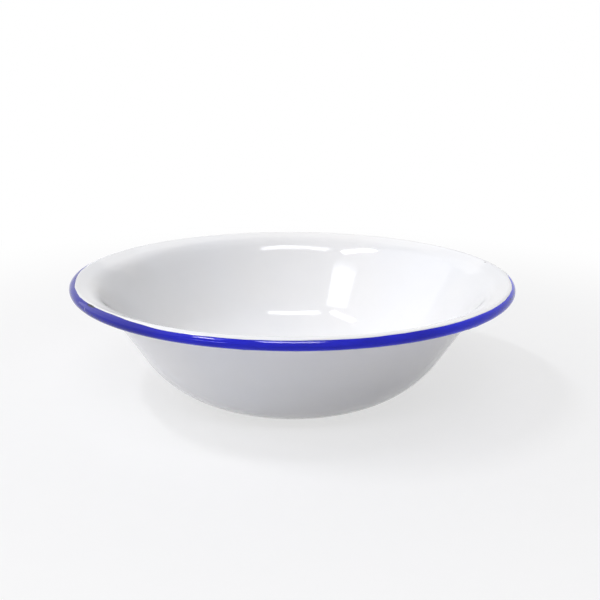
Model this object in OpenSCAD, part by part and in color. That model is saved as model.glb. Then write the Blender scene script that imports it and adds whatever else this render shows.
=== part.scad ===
// Enamel basin bowl: a bowl pressed from one steel sheet, its rim rolled into a hollow bead,
// with a fused dark ground coat, white cover coats inside and outside, and a blue band on the bead.

/* [Bowl] */
// Outside diameter over the rolled rim, mm
rim_d = 240; // [190:1:320]
// Height from the table to the top of the rim, mm
height = 67; // [50:0.5:100]
// Diameter of the flat base, mm
base_d = 90; // [50:1:120]

/* [Section] */
// Radius of the heel around the flat base, mm
heel_r = 14; // [6:0.5:30]
// Slope at which the heel becomes the lower curve, degrees
heel_angle = 14; // [8:1:30]
// Radius of the lower curve as a share of the largest that fits, where 1 leaves no straight wall
curve_ratio = 0.79; // [0.5:0.01:1]
// Radius of the slow outward turn above the straight wall, mm
shoulder_r = 70; // [40:1:85]
// Angle that the section turns over the shoulder, degrees
shoulder_angle = 6.5; // [1:0.5:12]
// Radius of the lip that turns the wall out into the brim, mm
lip_r = 14; // [6:0.5:22]
// Width of the straight brim from the lip to the rolled rim, mm
brim_w = 5; // [4:0.5:14]
// Slope of the brim, degrees
brim_angle = 20; // [2:1:30]

/* [Rolled rim] */
// Diameter of the rolled rim over its enamel, mm
roll_d = 6.1; // [4.8:0.1:8]
// Gap left between the sheet's cut edge and the coat under the brim, mm
seam_gap = 0.3; // [0.1:0.05:0.6]

/* [Coats] */
// Thickness of the steel sheet, mm
sheet_t = 0.7; // [0.4:0.05:1]
// Thickness of the dark ground coat on each face, mm
ground_t = 0.1; // [0.05:0.01:0.2]
// Thickness of the white or blue cover coat on each face, mm
cover_t = 0.2; // [0.1:0.01:0.35]

/* [Blue band] */
// Height angle on the bead's outer face at which the blue starts, degrees above level
band_angle = 49; // [20:1:80]

/* [Hidden] */
$fn = 180;
// Largest distance between a drawn chord and its true curve, mm
curve_tol = 0.008;

// Depths of each face below the outside surface, counted into the wall
steel_out = cover_t + ground_t;
steel_in = steel_out + sheet_t;
ground_in = steel_in + ground_t;
wall_t = ground_in + cover_t;

base_r = base_d / 2;
roll_r = roll_d / 2;
roll_c = [rim_d / 2 - roll_r, height - roll_r];

// Point at a slope on an arc about c: r is above zero for a hollow turn, below zero for a round one
function on_arc(c, r, slope) = c + r * [sin(slope), -cos(slope)];

// Point on the brim at a depth below the outside surface, a distance back from the rolled rim
brim_out = [cos(brim_angle), sin(brim_angle)];
function on_brim(depth, back) = on_arc(roll_c, wall_t - roll_r - depth, brim_angle) - back * brim_out;

// Section of the outside face, worked out from the base up and from the rolled rim down
heel_c = [base_r, heel_r];
heel_end = on_arc(heel_c, heel_r, heel_angle);
lip_c = on_arc(on_brim(0, brim_w), lip_r, brim_angle);

// The lower curve, straight wall, shoulder and lip meet with no kink. Seen from the lip's centre,
// the shoulder stands off like an arc of radius bend_r about it, moved along the wall by bend_l
bend_r = shoulder_r - (shoulder_r - lip_r) * cos(shoulder_angle);
bend_l = (shoulder_r - lip_r) * sin(shoulder_angle);
span = lip_c - heel_end;
fall = bend_r - span.x * sin(heel_angle) + span.y * cos(heel_angle);
largest_r = (span * span - bend_r * bend_r - bend_l * bend_l) / (2 * fall);
curve_r = curve_ratio * largest_r;
curve_c = on_arc(heel_end, -curve_r, heel_angle);
reach = lip_c - curve_c;
radii = curve_r + bend_r;
tangent_l = sqrt(reach * reach - radii * radii);
wall_slope = atan2(reach.x, -reach.y) - atan2(tangent_l, radii);
lip_slope = wall_slope - shoulder_angle;
lip_start = on_arc(lip_c, -lip_r, lip_slope);
shoulder_c = on_arc(lip_start, shoulder_r, lip_slope);

// Angle about the roll's centre, back from the brim, at which a circle of radius x meets the brim's outside
function seam_angle(x) = acos((roll_r - wall_t) / x);
// Distance of that meeting point back from the rolled rim
function seam_back(x) = x * sin(seam_angle(x));

// Radii of the faces on the roll, from the enamel surface inwards
cover_x = roll_r - cover_t;
steel_x = cover_x - ground_t;
hollow_x = steel_x - sheet_t;

// Turns around the roll, counted outwards from the brim
band_turn = 90 + brim_angle - band_angle;
edge_turn = 360 - seam_angle(steel_x) - seam_gap / steel_x * 180 / PI;

// Arc points from slope a to slope b, as many as the tolerance asks for at the nominal radius
function arc(c, r, nominal, a, b, first = 1) =
    let (n = max(1, ceil(abs(b - a) / (2 * acos(1 - curve_tol / nominal)))))
    [for (i = [first:n]) on_arc(c, r, a + (b - a) * i / n)];

// Section line at a depth below the outside surface, from the axis to the seam under the brim
function wall_line(depth) = concat(
    [[0, depth]],
    arc(heel_c, heel_r - depth, heel_r, 0, heel_angle, 0),
    arc(curve_c, curve_r - depth, curve_r, heel_angle, wall_slope),
    arc(shoulder_c, -shoulder_r - depth, shoulder_r, wall_slope, lip_slope, 0),
    arc(lip_c, -lip_r - depth, lip_r, lip_slope, brim_angle),
    [for (x = [roll_r, cover_x, steel_x]) on_brim(depth, seam_back(x))]
);

// The same line carried on to the end of the brim
function brim_line(depth) = concat(wall_line(depth), [on_brim(depth, 0)]);

// Points around the roll at radius x from turn a to turn b
function roll_line(x, a, b, first = 1) = arc(roll_c, -x, roll_r, brim_angle - a, brim_angle - b, first);

// Points around the roll from the band's start to the meeting with the coat under the brim
function band_line(x, first = 1) = concat(
    roll_line(x, band_turn, edge_turn, first),
    roll_line(x, edge_turn, 360 - seam_angle(x))
);

function reversed(line) = [for (i = [len(line) - 1:-1:0]) line[i]];

// Ring between two section lines that run the same way
module revolve_between(line_a, line_b) {
    rotate_extrude()
        polygon(concat(line_a, reversed(line_b)));
}

// Pressed sheet with its edge rolled outwards and under into a hollow bead
module steel_shell() {
    color("#8a8d90")
        revolve_between(
            concat(
                brim_line(steel_out),
                roll_line(hollow_x, 0, band_turn),
                roll_line(hollow_x, band_turn, edge_turn)
            ),
            concat(
                brim_line(steel_in),
                roll_line(steel_x, 0, band_turn),
                roll_line(steel_x, band_turn, edge_turn)
            )
        );
}

// Ground coat over the inside and on around the bead to the seam
module ground_coat_inside() {
    color("#1c2030")
        revolve_between(
            concat(brim_line(steel_in), roll_line(steel_x, 0, band_turn), band_line(steel_x)),
            concat(brim_line(ground_in), roll_line(cover_x, 0, band_turn), band_line(cover_x))
        );
}

// Ground coat under the base and up the outside to the seam
module ground_coat_outside() {
    color("#1c2030")
        revolve_between(wall_line(cover_t), wall_line(steel_out));
}

// White cover coat over the inside, ending on the bead at the blue band
module white_enamel_inside() {
    color("#f4f4f2")
        revolve_between(
            concat(brim_line(ground_in), roll_line(cover_x, 0, band_turn)),
            concat(brim_line(wall_t), roll_line(roll_r, 0, band_turn))
        );
}

// White cover coat under the base and up the outside to the seam
module white_enamel_outside() {
    color("#f4f4f2")
        revolve_between(wall_line(0), wall_line(cover_t));
}

// Blue cover coat around the outer face of the bead, closing the seam under the brim
module blue_rim_band() {
    color("#2424c8")
        revolve_between(band_line(cover_x, 0), band_line(roll_r, 0));
}

steel_shell();
ground_coat_inside();
ground_coat_outside();
white_enamel_inside();
white_enamel_outside();
blue_rim_band();
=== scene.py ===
import math
import bpy
import numpy as np
from mathutils import Matrix, Vector


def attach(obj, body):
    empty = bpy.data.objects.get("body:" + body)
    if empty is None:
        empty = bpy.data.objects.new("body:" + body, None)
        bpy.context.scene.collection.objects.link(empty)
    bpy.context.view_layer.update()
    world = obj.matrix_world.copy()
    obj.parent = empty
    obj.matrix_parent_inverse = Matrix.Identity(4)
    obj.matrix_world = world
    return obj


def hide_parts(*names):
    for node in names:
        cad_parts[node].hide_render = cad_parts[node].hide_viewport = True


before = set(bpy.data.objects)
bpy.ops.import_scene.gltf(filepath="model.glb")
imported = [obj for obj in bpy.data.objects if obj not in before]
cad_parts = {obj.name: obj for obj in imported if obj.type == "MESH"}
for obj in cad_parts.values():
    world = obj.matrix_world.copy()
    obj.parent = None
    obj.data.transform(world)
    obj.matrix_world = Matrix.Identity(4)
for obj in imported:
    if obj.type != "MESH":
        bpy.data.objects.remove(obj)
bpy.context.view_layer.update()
print("frame loaded, nodes:", ", ".join(sorted(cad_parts)))

scene = bpy.context.scene
scene.view_settings.view_transform = "Standard"

mm = 0.001

# the bowl's section, in mm and degrees, the same sizes as the part's source
bowlForm = {
    "rimD": 240, "height": 67, "baseD": 90,
    "heelR": 14, "heelAngle": 14, "curveRatio": 0.79,
    "shoulderR": 70, "shoulderAngle": 6.5, "lipR": 14, "brimW": 5, "brimAngle": 20,
    "rollD": 6.1, "seamGap": 0.3,
    "sheetT": 0.7, "groundT": 0.1, "coverT": 0.2,
}


def onArc(centre, radius, slope):
    a = math.radians(slope)
    return np.array(centre, float) + radius * np.array([math.sin(a), -math.cos(a)])


# point on the brim's outside, a distance back from the rolled rim
def onBrim(s, back):
    a = math.radians(s["brimAngle"])
    end = onArc(s["rollC"], s["wallT"] - s["rollR"], s["brimAngle"])
    return end - back * np.array([math.cos(a), math.sin(a)])


# angle about the roll's centre, back from the brim, at which a circle of radius x meets the brim's outside
def seamAngle(s, x):
    return math.degrees(math.acos((s["rollR"] - s["wallT"]) / x))


def seamBack(s, x):
    return x * math.sin(math.radians(seamAngle(s, x)))


# depths of the layers, and curves that run into each other with no kink
def solveSection(form):
    s = dict(form)
    s["steelOut"] = s["coverT"] + s["groundT"]
    s["steelIn"] = s["steelOut"] + s["sheetT"]
    s["groundIn"] = s["steelIn"] + s["groundT"]
    s["wallT"] = s["groundIn"] + s["coverT"]
    s["baseR"], s["rollR"] = s["baseD"] / 2, s["rollD"] / 2
    s["rollC"] = np.array([s["rimD"] / 2 - s["rollR"], s["height"] - s["rollR"]])
    s["heelC"] = np.array([s["baseR"], s["heelR"]])
    heelEnd = onArc(s["heelC"], s["heelR"], s["heelAngle"])
    s["lipC"] = onArc(onBrim(s, s["brimW"]), s["lipR"], s["brimAngle"])
    heel, turn = math.radians(s["heelAngle"]), math.radians(s["shoulderAngle"])
    bendR = s["shoulderR"] - (s["shoulderR"] - s["lipR"]) * math.cos(turn)
    bendL = (s["shoulderR"] - s["lipR"]) * math.sin(turn)
    span = s["lipC"] - heelEnd
    fall = bendR - span[0] * math.sin(heel) + span[1] * math.cos(heel)
    largestR = (span @ span - bendR ** 2 - bendL ** 2) / (2 * fall)
    s["curveR"] = s["curveRatio"] * largestR
    s["curveC"] = onArc(heelEnd, -s["curveR"], s["heelAngle"])
    reach = s["lipC"] - s["curveC"]
    radii = s["curveR"] + bendR
    tangentL = math.sqrt(reach @ reach - radii ** 2)
    s["wallSlope"] = math.degrees(math.atan2(reach[0], -reach[1]) - math.atan2(tangentL, radii))
    s["lipSlope"] = s["wallSlope"] - s["shoulderAngle"]
    lipStart = onArc(s["lipC"], -s["lipR"], s["lipSlope"])
    s["shoulderC"] = onArc(lipStart, s["shoulderR"], s["lipSlope"])
    s["coverX"] = s["rollR"] - s["coverT"]
    s["steelX"] = s["coverX"] - s["groundT"]
    s["edgeTurn"] = 360 - seamAngle(s, s["steelX"]) - math.degrees(s["seamGap"] / s["steelX"])
    return s


section = solveSection(bowlForm)
print("section solved: wall slope %.2f, lower curve %.2f mm" % (section["wallSlope"], section["curveR"]))

# how closely the pieces are meshed: degrees around the bowl and the bead, mm along the section
lathe = {
    "aroundStep": 1.25,
    "fineStep": 0.2, "fineHalf": 3.2,    # beside a chip, and how far to each side of it
    "leastStep": 0.12,                   # closer stations are dropped
    "baseStep": 5.0, "curveStep": 2.0, "wallStep": 2.2, "lipStep": 0.7,
    "rollStep": 4.0,
    "bandStep": 2.0, "underStep": 5.5,   # in the blue, and in what lies under it
    "seamSteps": 5,                      # stations from the sheet's cut edge to the coat under the brim
    "sharpFrom": 38,                     # the angle from which an edge isn't shaded smooth
}

# knocks in the rim where the cover coat has come off the dark ground coat:
# azimuth and height angle on the bead, and mm
rimChips = [
    {"azimuth": -143.6, "height": 69.0, "long": 9.0, "tall": 1.6, "depth": 0.17, "lean": 0.02},
]


def aroundStations():
    turns = list(np.arange(0, 360, lathe["aroundStep"]))
    for chip in rimChips:
        offs = np.arange(-lathe["fineHalf"], lathe["fineHalf"] + lathe["fineStep"] / 2, lathe["fineStep"])
        turns += list((chip["azimuth"] + offs) % 360)
    turns = np.unique(np.round(turns, 3))
    keep = [turns[0]]
    for t in turns[1:]:
        if t - keep[-1] > lathe["leastStep"]:
            keep.append(t)
    return np.array(keep)


around = aroundStations()
print("stations around the bowl:", len(around))


# a section station is centre, signed radius and slope:
# the point at a depth is centre + (radius - depth) * normal
def arcStations(centre, radius, start, end, step):
    count = max(2, math.ceil(math.radians(abs(end - start)) * abs(radius) / step))
    return [(centre[0], centre[1], radius, start + (end - start) * i / count) for i in range(1, count + 1)]


def wallStations(s, back):
    count = int(s["baseR"] / lathe["baseStep"]) + 1
    rows = [(x, 0.0, 0.0, 0.0) for x in np.linspace(0, s["baseR"], count)]
    rows += arcStations(s["heelC"], s["heelR"], 0, s["heelAngle"], lathe["lipStep"])
    rows += arcStations(s["curveC"], s["curveR"], s["heelAngle"], s["wallSlope"], lathe["curveStep"])
    low = onArc(s["curveC"], s["curveR"], s["wallSlope"])
    high = onArc(s["shoulderC"], -s["shoulderR"], s["wallSlope"])
    count = math.ceil(np.linalg.norm(high - low) / lathe["wallStep"])
    for i in range(1, count + 1):
        p = low + (high - low) * i / count
        rows.append((p[0], p[1], 0.0, s["wallSlope"]))
    rows += arcStations(s["shoulderC"], -s["shoulderR"], s["wallSlope"], s["lipSlope"], lathe["curveStep"])
    rows += arcStations(s["lipC"], -s["lipR"], s["lipSlope"], s["brimAngle"], lathe["lipStep"])
    count = math.ceil((s["brimW"] - back) / lathe["lipStep"])
    for i in range(1, count + 1):
        p = onBrim(s, s["brimW"] + (back - s["brimW"]) * i / count)
        rows.append((p[0], p[1], 0.0, s["brimAngle"]))
    return np.array(rows)


# stations around the bead from one turn to another; a turn may differ around the bowl
def rollStations(s, start, end, count=0):
    start = np.broadcast_to(np.asarray(start, float), around.shape)
    end = np.broadcast_to(np.asarray(end, float), around.shape)
    count = count or math.ceil(np.max(np.abs(end - start)) / lathe["rollStep"])
    t = np.arange(1, count + 1) / count
    slope = s["brimAngle"] - (start[:, None] + (end - start)[:, None] * t)
    rows = np.empty(slope.shape + (4,))
    rows[..., 0], rows[..., 1] = s["rollC"]
    rows[..., 2] = -(s["rollR"] - s["wallT"])
    rows[..., 3] = slope
    return rows


def allAround(rows):
    return np.broadcast_to(rows, (len(around),) + rows.shape)


def sectionPoints(rows, depth):
    a = np.radians(rows[..., 3])
    out = rows[..., 2] - depth
    return np.stack([rows[..., 0] + out * np.sin(a), rows[..., 1] - out * np.cos(a)], axis=-1)


# the pressed sheet's own stray from a true round, in mm: nothing at the base, most at the rim,
# always inwards or down, and a small share of it in more lobes
pressing = {"oval": 0.15, "rimWave": 0.22, "fade": 1.5, "lobes": 5, "lobesAt": 1.3, "lobeShare": 0.2}


def settle(points):
    r, z = points[..., 0], points[..., 1]
    reach = section["rimD"] / 2 - section["baseR"]
    share = np.clip((r - section["baseR"]) / reach, 0, 1) ** pressing["fade"]
    a = np.radians(around)[:, None]
    oval = 0.5 - 0.5 * np.cos(2 * a)
    lobes = pressing["lobeShare"] * np.cos(pressing["lobes"] * a + pressing["lobesAt"])
    wave = 0.5 - 0.5 * ((1 - pressing["lobeShare"]) * np.cos(2 * a) + lobes)
    return np.stack([r - pressing["oval"] * share * oval, z - pressing["rimWave"] * share * wave], axis=-1)


def spun(points):
    a = np.radians(around)[:, None]
    r, z = points[..., 0], points[..., 1]
    return np.stack([r * np.cos(a), r * np.sin(a), z], axis=-1)


# slow ripple of fired enamel: a few seeded plane waves through space
def rippleDepth(points, recipe):
    draw = np.random.default_rng(recipe["seed"])
    place = spun(points)
    total = np.zeros(place.shape[:-1])
    for _ in range(recipe["count"]):
        way = draw.normal(size=3)
        way /= np.linalg.norm(way)
        length = draw.uniform(recipe["shortest"], recipe["longest"])
        phase = draw.uniform(0, 2 * math.pi)
        total += np.sin(place @ way * (2 * math.pi / length) + phase) * length / recipe["longest"]
    return recipe["sink"] + recipe["height"] * total / math.sqrt(recipe["count"] / 2)


def turnBetween(a, b):
    return (a - b + 180) % 360 - 180


def smooth(x, low, high):
    t = np.clip((x - low) / (high - low), 0, 1)
    return t * t * (3 - 2 * t)


# how a chip's edge wanders, in shares of its reach and radians per mm, and over which shares it falls away
chipEdge = {"wander": (0.10, 0.08), "waves": (3.1, 6.3, 4.7), "fall": (0.72, 1.12), "bare": (0.78, 1.0)}
leastCoat = 0.012    # mm of a cover coat that stays at its thinnest


# how deep a chip goes and how bare it is, for each point of a face on the bead
def chipMarks(rows, s):
    height = 90 + rows[..., 3]
    depth = np.zeros(height.shape)
    bare = np.zeros(height.shape)
    (coarse, fine), (along, alongFine, acrossFine) = chipEdge["wander"], chipEdge["waves"]
    for chip in rimChips:
        turn = turnBetween(around, chip["azimuth"])[:, None]
        u = np.radians(turn) * s["rimD"] / 2
        v = np.radians(height - chip["height"]) * s["rollR"] - chip["lean"] * u
        wander = coarse * np.sin(along * u) + fine * np.sin(alongFine * u + acrossFine * v)
        far = np.hypot(u / (chip["long"] / 2), v / (chip["tall"] / 2)) + wander
        near = np.abs(turn) < lathe["fineHalf"]
        depth = np.maximum(depth, chip["depth"] * (1 - smooth(far, *chipEdge["fall"])) * near)
        bare = np.maximum(bare, (1 - smooth(far, *chipEdge["bare"])) * near)
    return depth, bare


# a closed shell between an outside face and an inside face, each azimuth x station x (r, z) in mm
def makeShell(name, outside, inside, onAxis, marks=None):
    turns, count = outside.shape[:2]
    first = 1 if onAxis else 0
    grids, verts, poles = [], [], []
    base = 0
    for face in (outside, inside):
        place = spun(settle(face)) * mm
        if onAxis:
            poles.append(base)
            verts.append(place[:1, 0])
            base += 1
        body = place[:, first:].reshape(-1, 3)
        verts.append(body)
        grids.append(base + np.arange(len(body)).reshape(turns, count - first))
        base += len(body)
    quads, tris = [], []
    for flip, grid in enumerate(grids):
        near, far = grid, np.roll(grid, -1, axis=0)
        q = np.stack([near[:, :-1], far[:, :-1], far[:, 1:], near[:, 1:]], axis=-1).reshape(-1, 4)
        quads.append(q[:, ::-1] if flip else q)
        if onAxis:
            pole = np.full(turns, poles[flip])
            t = np.stack([pole, far[:, 0], near[:, 0]], axis=-1)
            tris.append(t[:, ::-1] if flip else t)
    # the last stations close the shell, and so do the first where it doesn't reach the axis
    a, b = grids
    a2, b2 = np.roll(a, -1, axis=0), np.roll(b, -1, axis=0)
    quads.append(np.stack([a[:, -1], a2[:, -1], b2[:, -1], b[:, -1]], axis=-1))
    if not onAxis:
        quads.append(np.stack([a2[:, 0], a[:, 0], b[:, 0], b2[:, 0]], axis=-1))
    faces = [tuple(f) for block in quads + tris for f in block.tolist()]
    mesh = bpy.data.meshes.new(name)
    mesh.from_pydata(np.concatenate(verts).tolist(), [], faces)
    mesh.polygons.foreach_set("use_smooth", np.ones(len(faces), bool))
    for label, pair in (marks or {}).items():
        values = []
        for value in pair:
            if onAxis:
                values.append(value[:1, 0])
            values.append(value[:, first:].reshape(-1))
        layer = mesh.attributes.new(label, "FLOAT", "POINT")
        layer.data.foreach_set("value", np.concatenate(values).astype(np.float32))
    mesh.update()
    mesh.set_sharp_from_angle(angle=math.radians(lathe["sharpFrom"]))
    piece = bpy.data.objects.new(name, mesh)
    scene.collection.objects.link(piece)
    return piece


def dress(piece, node, finish):
    piece.data.materials.append(finish)
    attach(piece, "root")
    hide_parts(node)
    print("made", piece.name, "with", len(piece.data.polygons), "faces")


# node helpers for the finishes
def newFinish(name):
    finish = bpy.data.materials.new(name)
    finish.use_nodes = True
    tree = finish.node_tree
    tree.nodes.clear()
    out = tree.nodes.new("ShaderNodeOutputMaterial")
    shader = tree.nodes.new("ShaderNodeBsdfPrincipled")
    tree.links.new(shader.outputs["BSDF"], out.inputs["Surface"])
    place = tree.nodes.new("ShaderNodeTexCoord").outputs["Object"]
    return finish, tree, shader, place


def link(tree, value, socket):
    if hasattr(value, "is_linked"):
        tree.links.new(value, socket)
    else:
        socket.default_value = value


# a grain is a noise's scale per metre, with detail, roughness and stretch where they aren't the usual ones
def noiseOf(tree, place, grain):
    if "stretch" in grain:
        fit = tree.nodes.new("ShaderNodeMapping")
        fit.inputs["Scale"].default_value = grain["stretch"]
        link(tree, place, fit.inputs["Vector"])
        place = fit.outputs["Vector"]
    node = tree.nodes.new("ShaderNodeTexNoise")
    link(tree, place, node.inputs["Vector"])
    node.inputs["Scale"].default_value = grain["scale"]
    node.inputs["Detail"].default_value = grain.get("detail", 2.0)
    node.inputs["Roughness"].default_value = grain.get("rough", 0.5)
    return node.outputs["Fac"]


def spread(tree, value, fromLow, fromHigh, toLow, toHigh, soft=False):
    node = tree.nodes.new("ShaderNodeMapRange")
    node.interpolation_type = "SMOOTHSTEP" if soft else "LINEAR"
    link(tree, value, node.inputs["Value"])
    ends = {"From Min": fromLow, "From Max": fromHigh, "To Min": toLow, "To Max": toHigh}
    for key, number in ends.items():
        node.inputs[key].default_value = number
    return node.outputs["Result"]


# a noise whose span runs from one value to another
def mottle(tree, place, grain, low, high):
    return spread(tree, noiseOf(tree, place, grain), *grain["span"], low, high)


def sums(tree, operation, a, b):
    node = tree.nodes.new("ShaderNodeMath")
    node.operation = operation
    link(tree, a, node.inputs[0])
    link(tree, b, node.inputs[1])
    return node.outputs["Value"]


def tint(tree, share, a, b):
    node = tree.nodes.new("ShaderNodeMix")
    node.data_type = "RGBA"
    link(tree, share, node.inputs["Factor"])
    link(tree, a if hasattr(a, "is_linked") else (*a, 1.0), node.inputs["A"])
    link(tree, b if hasattr(b, "is_linked") else (*b, 1.0), node.inputs["B"])
    return node.outputs["Result"]


# a relief has a strength, and a depth in metres
def bumped(tree, height, relief, under=None):
    node = tree.nodes.new("ShaderNodeBump")
    node.inputs["Strength"].default_value = relief["strength"]
    node.inputs["Distance"].default_value = relief["depth"]
    link(tree, height, node.inputs["Height"])
    if under is not None:
        link(tree, under, node.inputs["Normal"])
    return node.outputs["Normal"]


def grained(tree, place, relief, under=None):
    return bumped(tree, noiseOf(tree, place, relief), relief, under)


def lengthOf(tree, vector):
    node = tree.nodes.new("ShaderNodeVectorMath")
    node.operation = "LENGTH"
    link(tree, vector, node.inputs[0])
    return node.outputs["Value"]


spotEdge = {"scale": 900, "detail": 3, "span": (0.3, 0.7)}


# share of a soft-edged spot at a place on the bowl, drawn out along one direction; mm and degrees
def spotShare(tree, place, spot):
    move = tree.nodes.new("ShaderNodeMapping")
    move.vector_type = "TEXTURE"
    move.inputs["Location"].default_value = Vector(spot["at"]) * mm
    move.inputs["Rotation"].default_value = (0, 0, math.radians(spot.get("turn", 0)))
    move.inputs["Scale"].default_value = Vector(spot["size"]) * mm
    link(tree, place, move.inputs["Vector"])
    reach = lengthOf(tree, move.outputs["Vector"])
    if "ragged" in spot:
        reach = sums(tree, "ADD", reach, mottle(tree, place, spotEdge, -spot["ragged"], spot["ragged"]))
    return spread(tree, reach, spot.get("core", 0.5), 1.0, spot["share"], 0.0, True)


def markValue(tree, name):
    node = tree.nodes.new("ShaderNodeAttribute")
    node.attribute_name = name
    return node.outputs["Fac"]


fleckStep = 0.0005    # from a cell with no fleck to a cell with one


# rare pin-point flecks in a fired coat: the share of cells with none, and a fleck's size in its cell
def fleckShare(tree, place, flecks):
    cells = tree.nodes.new("ShaderNodeTexVoronoi")
    cells.inputs["Scale"].default_value = flecks["scale"]
    link(tree, place, cells.inputs["Vector"])
    pick = tree.nodes.new("ShaderNodeSeparateColor")
    link(tree, cells.outputs["Color"], pick.inputs["Color"])
    chosen = spread(tree, pick.outputs["Red"], flecks["none"], flecks["none"] + fleckStep, 0, 1)
    near = spread(tree, cells.outputs["Distance"], flecks["size"] / 2, flecks["size"], 1, 0, True)
    return sums(tree, "MULTIPLY", chosen, near)


whiteEnamel = {
    "cool": (0.885, 0.895, 0.91), "warm": (0.90, 0.897, 0.89),
    "cloud": {"scale": 11, "detail": 3, "span": (0.35, 0.65)},
    "thin": (0.76, 0.77, 0.79), "thinShare": 0.06,
    "thinning": {"scale": 60, "detail": 4, "rough": 0.6, "span": (0.45, 0.75)},
    "fleck": (0.10, 0.09, 0.08), "fleckShare": 0.7,
    "flecks": {"scale": 95, "none": 0.9935, "size": 0.030},
    # grey rubbing where the base meets the table, up to a height in mm
    "rub": (0.50, 0.50, 0.50), "rubTop": 0.45, "rubShare": 0.55, "rubRough": 0.35,
    "scratches": {"scale": 260, "detail": 5, "rough": 0.7, "span": (0.50, 0.68),
                  "strength": 0.3, "depth": 0.0001},
    "ground": (0.022, 0.024, 0.035), "groundRough": 0.4,
    "rough": (0.045, 0.085), "haze": {"scale": 40, "detail": 3, "span": (0.3, 0.7)},
    "peel": {"scale": 110, "strength": 0.25, "depth": 0.00006},
    "pores": {"scale": 700, "strength": 0.10, "depth": 0.00002},
    "ior": 1.5, "gloss": 0.35,
    "spots": [
        {"at": (-55.2, -61.1, 33.1), "size": (0.42, 0.42, 0.42), "share": 0.75},
        {"at": (-72.1, -51.9, 40.1), "size": (0.34, 0.34, 0.34), "share": 0.6},
        {"at": (112.9, 25.7, 66.8), "size": (0.8, 1.4, 0.9), "turn": 13,
         "share": 0.5, "core": 0.3, "ragged": 0.3},
    ],
}


def makeWhiteFinish(look):
    finish, tree, shader, place = newFinish("whiteEnamelFinish")
    colour = tint(tree, mottle(tree, place, look["cloud"], 0, 1), look["cool"], look["warm"])
    colour = tint(tree, mottle(tree, place, look["thinning"], 0, look["thinShare"]), colour, look["thin"])
    flecks = sums(tree, "MULTIPLY", fleckShare(tree, place, look["flecks"]), look["fleckShare"])
    colour = tint(tree, flecks, colour, look["fleck"])
    for spot in look["spots"]:
        colour = tint(tree, spotShare(tree, place, spot), colour, look["fleck"])
    height = tree.nodes.new("ShaderNodeSeparateXYZ")
    link(tree, place, height.inputs["Vector"])
    low = spread(tree, height.outputs["Z"], 0.0, look["rubTop"] * mm, 1, 0, True)
    scratch = noiseOf(tree, place, look["scratches"])
    patchy = spread(tree, scratch, *look["scratches"]["span"], 0, look["rubShare"], True)
    rubbed = sums(tree, "MULTIPLY", low, patchy)
    colour = tint(tree, rubbed, colour, look["rub"])
    bare = markValue(tree, "bareGround")
    colour = tint(tree, bare, colour, look["ground"])
    link(tree, colour, shader.inputs["Base Color"])
    rough = mottle(tree, place, look["haze"], *look["rough"])
    rough = sums(tree, "ADD", rough, sums(tree, "MULTIPLY", rubbed, look["rubRough"]))
    rough = sums(tree, "ADD", rough, sums(tree, "MULTIPLY", bare, look["groundRough"]))
    link(tree, rough, shader.inputs["Roughness"])
    pores = grained(tree, place, look["pores"], grained(tree, place, look["peel"]))
    worn = bumped(tree, sums(tree, "MULTIPLY", scratch, rubbed), look["scratches"], pores)
    link(tree, worn, shader.inputs["Normal"])
    shader.inputs["IOR"].default_value = look["ior"]
    shader.inputs["Specular IOR Level"].default_value = look["gloss"]
    return finish


blueEnamel = {
    # streaks run around the rim, as the colour was laid on
    "deep": (0.008, 0.010, 0.52), "bright": (0.014, 0.018, 0.69),
    "streak": {"scale": 55, "detail": 4, "rough": 0.6, "stretch": (1, 1, 7), "span": (0.3, 0.7)},
    "edge": (0.012, 0.012, 0.30), "edgeShare": 0.55,
    "ground": (0.020, 0.022, 0.035), "groundRough": 0.4,
    "rough": (0.015, 0.04), "haze": {"scale": 80, "detail": 3, "span": (0.3, 0.7)},
    "lay": {"scale": 150, "detail": 3, "stretch": (1, 1, 2), "strength": 0.22, "depth": 0.00008},
    "pores": {"scale": 800, "strength": 0.06, "depth": 0.00002},
    "ior": 1.5, "gloss": 0.2,
    # where the colour was laid on thicker at a notch, and broad painted shade on the front left and painted
    # light on the front right of the band
    "laidAndPaintedLightAt": [
        # painted shade: a broad darker blue over the front left of the band
        {"at": (-105, -55, 64), "size": (80, 90, 40), "share": 0.85, "core": 0.6,
         "colour": (0.012, 0.013, 0.28)},
        # painted light: a broad brighter blue over the front right of the band
        {"at": (100, -60, 64), "size": (60, 80, 40), "share": 0.8, "colour": (0.018, 0.028, 0.90)},
        {"at": (107.8, -51.6, 65.6), "size": (1.0, 1.9, 0.9), "turn": -26,
         "share": 0.75, "core": 0.3, "ragged": 0.4, "colour": (0.008, 0.009, 0.20)},
    ],
    # where it is rubbed pale
    "worn": (0.55, 0.55, 0.60),
    "wornAt": [
        {"at": (111.1, -45.1, 64.4), "size": (1.2, 2.1, 1.4), "turn": -22,
         "share": 0.7, "core": 0.2, "ragged": 0.55},
        {"at": (-98.5, -68.3, 64.6), "size": (0.5, 0.5, 1.2), "share": 0.45, "core": 0.2},
        {"at": (-97.6, -69.4, 63.2), "size": (0.5, 0.5, 1.2), "share": 0.35, "core": 0.2},
    ],
}


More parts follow.
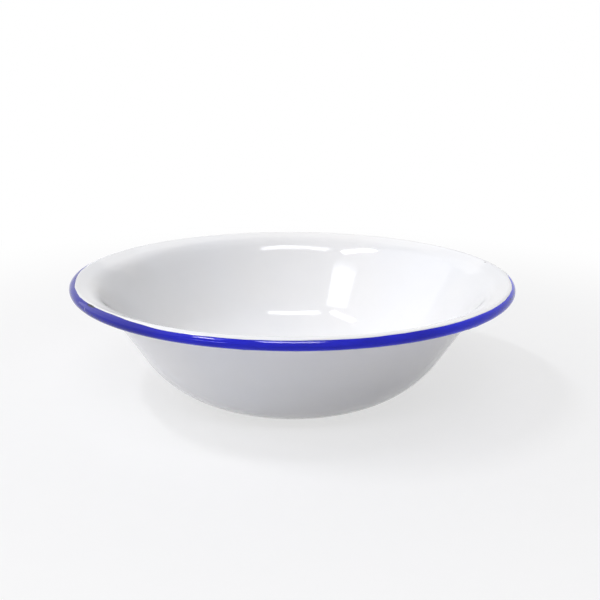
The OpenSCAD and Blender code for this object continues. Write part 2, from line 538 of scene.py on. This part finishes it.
def makeBlueFinish(look):
    finish, tree, shader, place = newFinish("blueEnamelFinish")
    colour = tint(tree, mottle(tree, place, look["streak"], 0, 1), look["deep"], look["bright"])
    # a thick-laid notch, and the painted shade and painted light across the band
    for patchLook in look["laidAndPaintedLightAt"]:
        colour = tint(tree, spotShare(tree, place, patchLook), colour, patchLook["colour"])
    edge = sums(tree, "MULTIPLY", markValue(tree, "bandEdge"), look["edgeShare"])
    colour = tint(tree, edge, colour, look["edge"])
    for spot in look["wornAt"]:
        colour = tint(tree, spotShare(tree, place, spot), colour, look["worn"])
    bare = markValue(tree, "bareGround")
    colour = tint(tree, bare, colour, look["ground"])
    link(tree, colour, shader.inputs["Base Color"])
    rough = mottle(tree, place, look["haze"], *look["rough"])
    rough = sums(tree, "ADD", rough, sums(tree, "MULTIPLY", bare, look["groundRough"]))
    link(tree, rough, shader.inputs["Roughness"])
    lay = grained(tree, place, look["lay"])
    link(tree, grained(tree, place, look["pores"], lay), shader.inputs["Normal"])
    shader.inputs["IOR"].default_value = look["ior"]
    shader.inputs["Specular IOR Level"].default_value = look["gloss"]
    return finish


groundCoat = {
    "dark": (0.010, 0.011, 0.022), "light": (0.030, 0.033, 0.050),
    "cloud": {"scale": 180, "detail": 5, "rough": 0.65, "span": (0.35, 0.7)},
    "fleck": (0.18, 0.18, 0.2), "flecks": {"scale": 900, "none": 0.93, "size": 0.3},
    "rough": (0.22, 0.42), "roughSpan": (0.3, 0.7),
    "pores": {"scale": 900, "detail": 3, "strength": 0.3, "depth": 0.00004},
    "ior": 1.5,
}


def makeGroundFinish(look):
    finish, tree, shader, place = newFinish("groundCoatFinish")
    cloud = noiseOf(tree, place, look["cloud"])
    colour = tint(tree, spread(tree, cloud, *look["cloud"]["span"], 0, 1), look["dark"], look["light"])
    colour = tint(tree, fleckShare(tree, place, look["flecks"]), colour, look["fleck"])
    link(tree, colour, shader.inputs["Base Color"])
    link(tree, spread(tree, cloud, *look["roughSpan"], *look["rough"]), shader.inputs["Roughness"])
    link(tree, grained(tree, place, look["pores"]), shader.inputs["Normal"])
    shader.inputs["IOR"].default_value = look["ior"]
    return finish


pressedSteel = {
    "dark": (0.40, 0.40, 0.41), "light": (0.52, 0.52, 0.53), "rough": (0.28, 0.46),
    "grain": {"scale": 300, "detail": 5, "rough": 0.6, "stretch": (1, 1, 0.15), "span": (0.3, 0.7),
              "strength": 0.2, "depth": 0.00003},
}


def makeSteelFinish(look):
    finish, tree, shader, place = newFinish("pressedSteelFinish")
    grain = noiseOf(tree, place, look["grain"])
    colour = tint(tree, spread(tree, grain, *look["grain"]["span"], 0, 1), look["dark"], look["light"])
    link(tree, colour, shader.inputs["Base Color"])
    link(tree, spread(tree, grain, *look["grain"]["span"], *look["rough"]), shader.inputs["Roughness"])
    link(tree, bumped(tree, grain, look["grain"]), shader.inputs["Normal"])
    shader.inputs["Metallic"].default_value = 1.0
    return finish


whiteFinish = makeWhiteFinish(whiteEnamel)
blueFinish = makeBlueFinish(blueEnamel)
groundFinish = makeGroundFinish(groundCoat)
steelFinish = makeSteelFinish(pressedSteel)
print("finishes made")

brimRows = allAround(wallStations(section, 0.0))
coatRows = allAround(wallStations(section, seamBack(section, section["steelX"])))

# the hand-laid top edge of the blue: azimuth and height angle on the bead,
# and a slight shake in degrees, at so many waves around the rim
blueEdge = {
    "course": [
        (-194, 62), (-181, 90), (-168, 97), (-160, 87), (-150, 76), (-134, 77), (-127, 63),
        (-118, 46), (-108, 46), (-80, 49), (-60, 55), (-40, 61), (-20, 68), (-8, 80),
        (2, 58), (20, 51), (70, 53), (110, 47), (145, 54),
    ],
    "shake": 0.5, "waves": (17, 29, 41, 67), "seed": 12,
}


def blueEdgeHeight(look):
    at = np.array([p[0] for p in look["course"]], float)
    rise = np.array([p[1] for p in look["course"]], float)
    at, rise = np.append(at, at[0] + 360), np.append(rise, rise[0])
    turn = (around - at[0]) % 360 + at[0]
    k = np.clip(np.searchsorted(at, turn, side="right") - 1, 0, len(at) - 2)
    height = rise[k] + (rise[k + 1] - rise[k]) * smooth(turn, at[k], at[k + 1])
    draw = np.random.default_rng(look["seed"])
    for waves in look["waves"]:
        height += look["shake"] * np.sin(waves * np.radians(around) + draw.uniform(0, 2 * math.pi))
    return height


bandTurn = 90 + section["brimAngle"] - blueEdgeHeight(blueEdge)
overRows = rollStations(section, 0, bandTurn)


# stations from the top edge of the blue to the sheet's cut edge
def toCutEdge(step):
    count = math.ceil(np.max(section["edgeTurn"] - bandTurn) / step)
    return rollStations(section, bandTurn, section["edgeTurn"], count)


# and on to where radius x meets the coat under the brim
def toSeam(x, step):
    seam = rollStations(section, section["edgeTurn"], 360 - seamAngle(section, x), lathe["seamSteps"])
    return np.concatenate([toCutEdge(step), seam], axis=1)


def makeSteelShell():
    rows = np.concatenate([brimRows, overRows, toCutEdge(lathe["underStep"])], axis=1)
    piece = makeShell("steelShell", sectionPoints(rows, section["steelOut"]),
                      sectionPoints(rows, section["steelIn"]), True)
    dress(piece, "steel_shell", steelFinish)


def makeGroundCoats():
    steelSide = np.concatenate([brimRows, overRows, toSeam(section["steelX"], lathe["underStep"])], axis=1)
    coverSide = np.concatenate([brimRows, overRows, toSeam(section["coverX"], lathe["underStep"])], axis=1)
    inside = makeShell("groundCoatInside", sectionPoints(steelSide, section["steelIn"]),
                       sectionPoints(coverSide, section["groundIn"]), True)
    dress(inside, "ground_coat_inside", groundFinish)
    outside = makeShell("groundCoatOutside", sectionPoints(coatRows, section["coverT"]),
                        sectionPoints(coatRows, section["steelOut"]), True)
    dress(outside, "ground_coat_outside", groundFinish)


# mm; outside, the ripple fades in from one width inside the base's edge to another beyond it
whiteCoats = {
    "ripple": {"count": 14, "shortest": 13.0, "longest": 42.0, "height": 0.011, "sink": 0.03, "seed": 41},
    "outsideSeed": 57, "baseFade": (6, 4),
}


def makeWhiteCoats(look):
    rows = np.concatenate([brimRows, overRows], axis=1)
    onRoll = np.arange(rows.shape[1]) >= brimRows.shape[1]
    chipDepth, bare = chipMarks(rows, section)
    chipDepth, bare = chipDepth * onRoll, bare * onRoll
    sink = rippleDepth(sectionPoints(rows, section["wallT"]), look["ripple"])
    sink = np.minimum(sink + chipDepth, section["coverT"] - leastCoat)
    inside = makeShell("whiteEnamelInside", sectionPoints(rows, section["groundIn"]),
                       sectionPoints(rows, section["wallT"] - sink), True,
                       {"bareGround": (np.zeros(bare.shape), bare)})
    dress(inside, "white_enamel_inside", whiteFinish)
    flat = sectionPoints(coatRows, 0.0)
    within, beyond = look["baseFade"]
    lift = smooth(flat[..., 0], section["baseR"] - within, section["baseR"] + beyond)
    sink = rippleDepth(flat, dict(look["ripple"], seed=look["outsideSeed"])) * lift
    blank = np.zeros(sink.shape)
    outside = makeShell("whiteEnamelOutside", sectionPoints(coatRows, sink),
                        sectionPoints(coatRows, section["coverT"]), True, {"bareGround": (blank, blank)})
    dress(outside, "white_enamel_outside", whiteFinish)


# mm and degrees
blueBand = {
    "ripple": {"count": 12, "shortest": 5.0, "longest": 15.0, "height": 0.013, "sink": 0.03, "seed": 23},
    "edgeRound": 0.35, "edgeThin": 0.05,    # width over which the blue is darker towards its top edge
    "edgeDark": 0.3,                        # width that fires to a deeper colour
    # where the blue gathered under the rim before firing: azimuth, height angle, length and height
    "lumps": [
        (-47.5, -62, 2.2, 0.16), (-45.2, -66, 1.6, 0.20), (-43.4, -60, 1.8, 0.12), (-50.5, -64, 2.0, 0.08),
        (-100, -70, 3.0, 0.10), (-128, -66, 2.4, 0.10), (18, -65, 2.6, 0.14), (74, -62, 3.0, 0.12),
        (121, -70, 2.2, 0.15), (163, -64, 3.2, 0.10),
    ],
    "lumpFall": 1.6, "lumpTall": 1.1,
    # where it dried flat and takes the light: azimuths of its ends, height angle, tilts there and half width
    "flats": [
        ((-98, -83), 31, (1.6, 1.6), 0.25), ((-113, -104), 31, (17.2, 11.5), 0.2),
        ((-114, -101), 8, (29, 29), 0.15),
    ],
    "flatFade": 0.35, "flatEnds": 1.5,      # mm across and degrees along
}


def makeBlueBand(look):
    coverSide = toSeam(section["coverX"], lathe["bandStep"])
    faceSide = toSeam(section["rollR"], lathe["bandStep"])
    first = faceSide[:, :1].copy()
    first[..., 3] = (section["brimAngle"] - bandTurn)[:, None]
    coverSide = np.concatenate([first, coverSide], axis=1)
    faceSide = np.concatenate([first, faceSide], axis=1)
    height = 90 + faceSide[..., 3]
    fromEdge = np.radians(first[..., 3] - faceSide[..., 3]) * section["rollR"]
    sink = rippleDepth(sectionPoints(faceSide, section["wallT"]), look["ripple"])
    sink = sink + look["edgeThin"] * (1 - smooth(fromEdge, 0, look["edgeRound"]))
    for azimuth, at, long, rise in look["lumps"]:
        u = np.radians(turnBetween(around, azimuth))[:, None] * section["rimD"] / 2
        v = np.radians(height - at) * section["rollR"]
        sink = sink - rise * np.exp(-(u / long * look["lumpFall"]) ** 2 - (v / look["lumpTall"]) ** 2)
    for (start, end), at, tilts, half in look["flats"]:
        reach = (end - start) / 2
        turn = turnBetween(around, start + reach)[:, None]
        tilt = np.tan(np.radians(np.interp(turn, (-reach, reach), tilts)))
        v = np.radians(height - at) * section["rollR"]
        across = 1 - smooth(np.abs(v), half, half + look["flatFade"])
        share = across * (1 - smooth(np.abs(turn), reach - look["flatEnds"], reach))
        sink = sink + share * (tilt * v + (half ** 2 - v ** 2) / (2 * section["rollR"]))
    chipDepth, bare = chipMarks(faceSide, section)
    sink = np.minimum(sink + chipDepth, section["coverT"] - leastCoat)
    edge = 1 - smooth(fromEdge, 0.0, look["edgeDark"])
    blank = np.zeros(bare.shape)
    piece = makeShell("blueRimBand", sectionPoints(coverSide, section["groundIn"]),
                      sectionPoints(faceSide, section["wallT"] - sink), False,
                      {"bareGround": (blank, bare), "bandEdge": (blank, edge)})
    dress(piece, "blue_rim_band", blueFinish)


makeSteelShell()
makeGroundCoats()
makeWhiteCoats(whiteCoats)
makeBlueBand(blueBand)

# the table: pale, white to the camera and to gloss away from the bowl, with the bowl's shadow close to it;
# metres, and just under the base, so that the two don't share a plane
table = {
    "across": 8.0, "height": -0.00002,
    "colour": (0.82, 0.82, 0.82), "speck": (0.79, 0.79, 0.795), "grain": {"scale": 90, "detail": 4},
    "rough": 0.9, "gloss": 0.2,
    "whiteNear": 0.68, "shadowFrom": 0.17, "shadowTo": 0.50,
}


def backgroundRays(tree):
    path = tree.nodes.new("ShaderNodeLightPath")
    seen = sums(tree, "MAXIMUM", path.outputs["Is Camera Ray"], path.outputs["Is Glossy Ray"])
    return sums(tree, "MAXIMUM", seen, path.outputs["Is Transmission Ray"])


def makeTable(look):
    half = look["across"] / 2
    corners = [(-half, -half, 0), (half, -half, 0), (half, half, 0), (-half, half, 0)]
    mesh = bpy.data.meshes.new("table")
    mesh.from_pydata(corners, [], [(0, 1, 2, 3)])
    floor = bpy.data.objects.new("table", mesh)
    floor.location.z = look["height"]
    scene.collection.objects.link(floor)
    finish, tree, shader, place = newFinish("tableFinish")
    colour = tint(tree, noiseOf(tree, place, look["grain"]), look["colour"], look["speck"])
    link(tree, colour, shader.inputs["Base Color"])
    shader.inputs["Roughness"].default_value = look["rough"]
    shader.inputs["Specular IOR Level"].default_value = look["gloss"]
    glow = tree.nodes.new("ShaderNodeEmission")
    glow.inputs["Strength"].default_value = 1.0
    white = spread(tree, lengthOf(tree, place), look["shadowFrom"], look["shadowTo"],
                   look["whiteNear"], 1.0, True)
    both = tree.nodes.new("ShaderNodeMixShader")
    link(tree, sums(tree, "MULTIPLY", backgroundRays(tree), white), both.inputs["Fac"])
    link(tree, shader.outputs["BSDF"], both.inputs[1])
    link(tree, glow.outputs["Emission"], both.inputs[2])
    out = [n for n in tree.nodes if n.type == "OUTPUT_MATERIAL"][0]
    link(tree, both.outputs["Shader"], out.inputs["Surface"])
    mesh.materials.append(finish)


makeTable(table)
print("table laid")

# strip lamps above and behind the viewer, a window and panels to the left, soft screens,
# and a faint ceiling; metres, degrees and watts
studio = {
    "ceiling": 0.04, "ceilingFrom": 0.25,
    "lamps": {
        "stripLamp": {"at": (-0.03, -0.75, 1.8), "size": (1.06, 0.19), "turn": 0,
                      "watts": 6.6, "colour": (0.95, 0.95, 1.0)},
        "frontStrip": {"at": (-0.03, -1.74, 1.8), "size": (1.16, 0.18), "turn": 0,
                       "watts": 16.0, "colour": (0.97, 0.97, 1.0)},
        "nearPanel": {"at": (-1.17, -1.06, 1.8), "size": (0.60, 0.20), "turn": 152,
                      "watts": 3.0, "colour": (0.90, 0.93, 1.0)},
        "farPanel": {"at": (-1.0, -0.42, 1.8), "size": (0.66, 0.17), "turn": 115,
                     "watts": 15.8, "colour": (0.96, 0.97, 1.0)},
        "leftWindow": {"at": (-1.56, 0.0, 1.05), "size": (3.0, 2.0), "towards": (0, 0, 0.04),
                       "watts": 17.6, "colour": (0.97, 0.965, 1.0)},
        "rightScreen": {"at": (0.55, 0.78, 1.57), "size": (2.0, 1.6), "towards": (0, 0, 0.04),
                        "watts": 4.8, "colour": (1.0, 0.98, 0.96)},
        "backLamp": {"at": (0.12, 1.37, 1.2), "size": (2.4, 0.9), "towards": (0, 0, 0.04),
                     "watts": 4.0, "colour": (1.0, 0.95, 0.88)},
    },
}


def makeRoom(look):
    world = bpy.data.worlds.new("room")
    scene.world = world
    world.use_nodes = True
    tree = world.node_tree
    tree.nodes.clear()
    out = tree.nodes.new("ShaderNodeOutputWorld")
    light = tree.nodes.new("ShaderNodeBackground")
    white = tree.nodes.new("ShaderNodeBackground")
    for shade in (light, white):
        shade.inputs["Color"].default_value = (1, 1, 1, 1)
    way = tree.nodes.new("ShaderNodeSeparateXYZ")
    link(tree, tree.nodes.new("ShaderNodeTexCoord").outputs["Generated"], way.inputs["Vector"])
    overhead = spread(tree, way.outputs["Z"], look["ceilingFrom"], 1.0, 0.0, look["ceiling"], True)
    link(tree, overhead, light.inputs["Strength"])
    white.inputs["Strength"].default_value = 1.0
    pick = tree.nodes.new("ShaderNodeMixShader")
    link(tree, backgroundRays(tree), pick.inputs["Fac"])
    link(tree, light.outputs["Background"], pick.inputs[1])
    link(tree, white.outputs["Background"], pick.inputs[2])
    link(tree, pick.outputs["Shader"], out.inputs["Surface"])


def makeLamp(name, look):
    lamp = bpy.data.lights.new(name, "AREA")
    lamp.shape = "RECTANGLE"
    lamp.size, lamp.size_y = look["size"]
    lamp.energy = look["watts"]
    lamp.color = look["colour"]
    holder = bpy.data.objects.new(name, lamp)
    scene.collection.objects.link(holder)
    holder.location = look["at"]
    if "towards" in look:
        way = Vector(look["towards"]) - Vector(look["at"])
        holder.rotation_euler = way.to_track_quat("-Z", "Y").to_euler()
    else:
        holder.rotation_euler = (0, 0, math.radians(look["turn"]))


makeRoom(studio)
for lampName, lampLook in studio["lamps"].items():
    makeLamp(lampName, lampLook)
print("lamps set")

# the photograph's viewpoint: metres and degrees, and mm for the lens
viewpoint = {
    "distance": 0.4547, "elevation": 17.61, "aimHeight": 0.0335,
    "pitch": 15.564, "yaw": 0.531, "roll": 0.378,
    "lens": 48.142, "sensor": 36.0, "clip": (0.01, 60),
}


def makeCamera(look):
    data = bpy.data.cameras.new("camera")
    data.sensor_width = look["sensor"]
    data.lens = look["lens"]
    data.clip_start, data.clip_end = look["clip"]
    camera = bpy.data.objects.new("camera", data)
    scene.collection.objects.link(camera)
    rise = math.radians(look["elevation"])
    away, up = look["distance"] * math.cos(rise), look["distance"] * math.sin(rise)
    camera.location = (0, -away, look["aimHeight"] + up)
    pitch, yaw, roll = (math.radians(look[k]) for k in ("pitch", "yaw", "roll"))
    turn = Matrix.Rotation(-yaw, 3, "Z") @ Matrix.Rotation(math.pi / 2 - pitch, 3, "X")
    camera.rotation_euler = (turn @ Matrix.Rotation(roll, 3, "Z")).to_euler()
    scene.camera = camera


makeCamera(viewpoint)
print("camera set")

bpy.context.view_layer.update()
